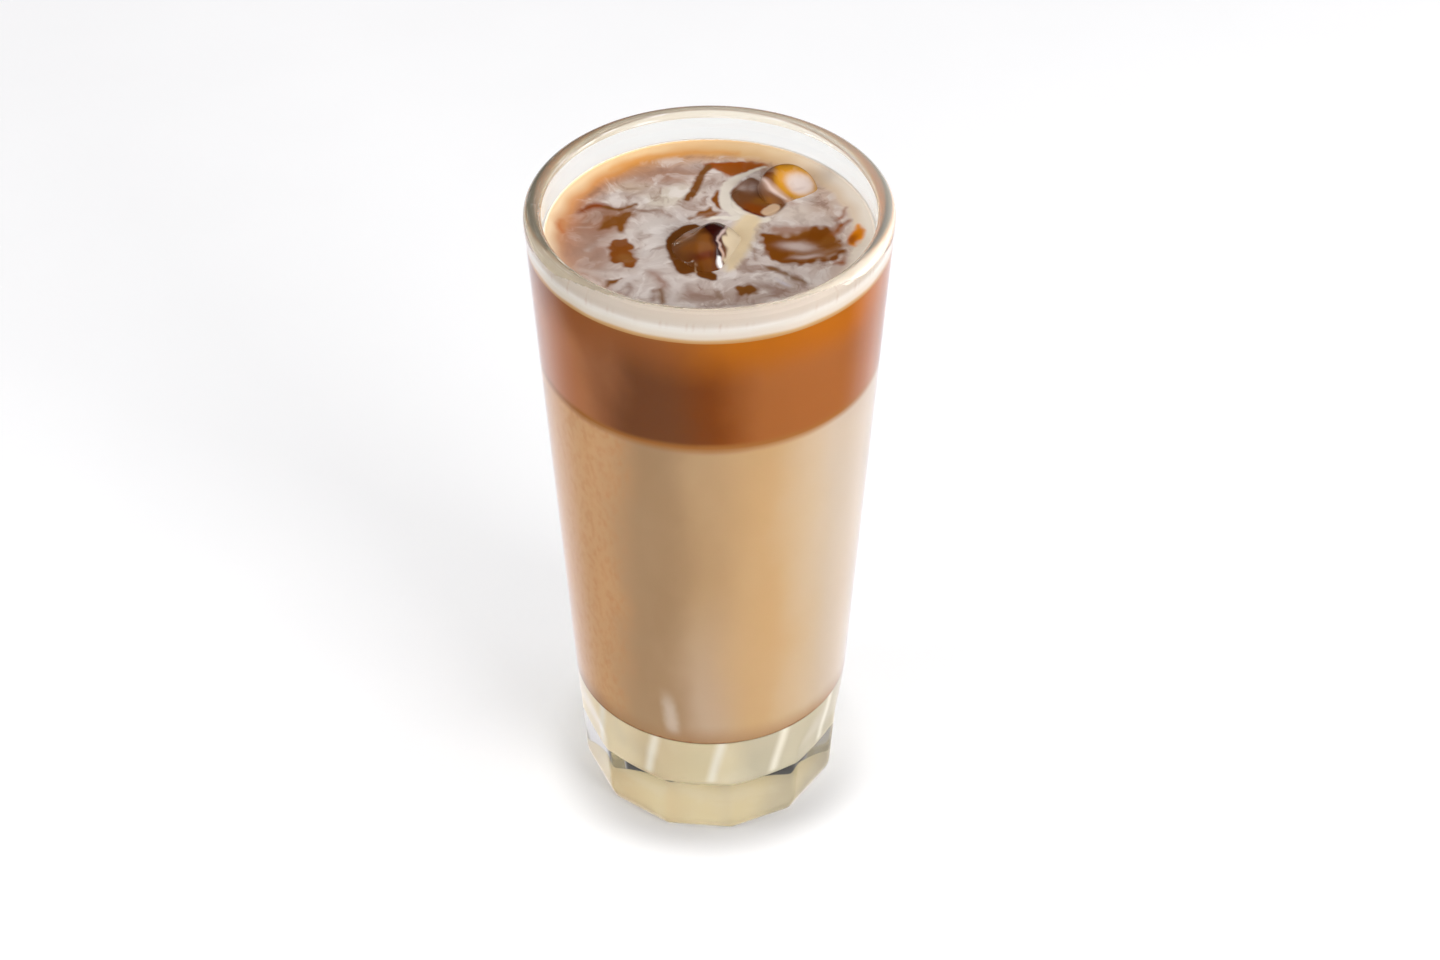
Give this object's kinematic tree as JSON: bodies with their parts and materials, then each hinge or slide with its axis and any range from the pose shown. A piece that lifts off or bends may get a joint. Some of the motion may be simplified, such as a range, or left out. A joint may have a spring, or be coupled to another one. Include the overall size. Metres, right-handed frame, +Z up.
{
  "type": "iced latte",
  "caption": "Iced latte with layers of sweet milk, latte, coffee and a marbled milky top with ice, in a tall tapered glass with a faceted base.",
  "frame": {"origin": "middle of the underside of the glass, on the surface that it stands on", "axes": "+Z up along the axis of the glass, -Y the side seen from the front, +X to the right of it"},
  "size_m": [0.076, 0.076, 0.1554],
  "materials": {
    "glass": "clear pressed glass, polished",
    "sweet_milk": "thick pale yellow condensed milk",
    "latte": "opaque milky coffee",
    "coffee": "brown coffee, slightly see-through",
    "cream": "milk and foam marbled into coffee, wet",
    "ice": "wet clear ice in coffee"
  },
  "bodies": {
    "root": {"glass": "glass", "sweet_milk": "sweet_milk", "latte": "latte", "coffee": "coffee", "cream": "cream", "ice_big": "ice", "ice_level": "ice", "ice_lean": "ice"}
  },
  "joints": []
}
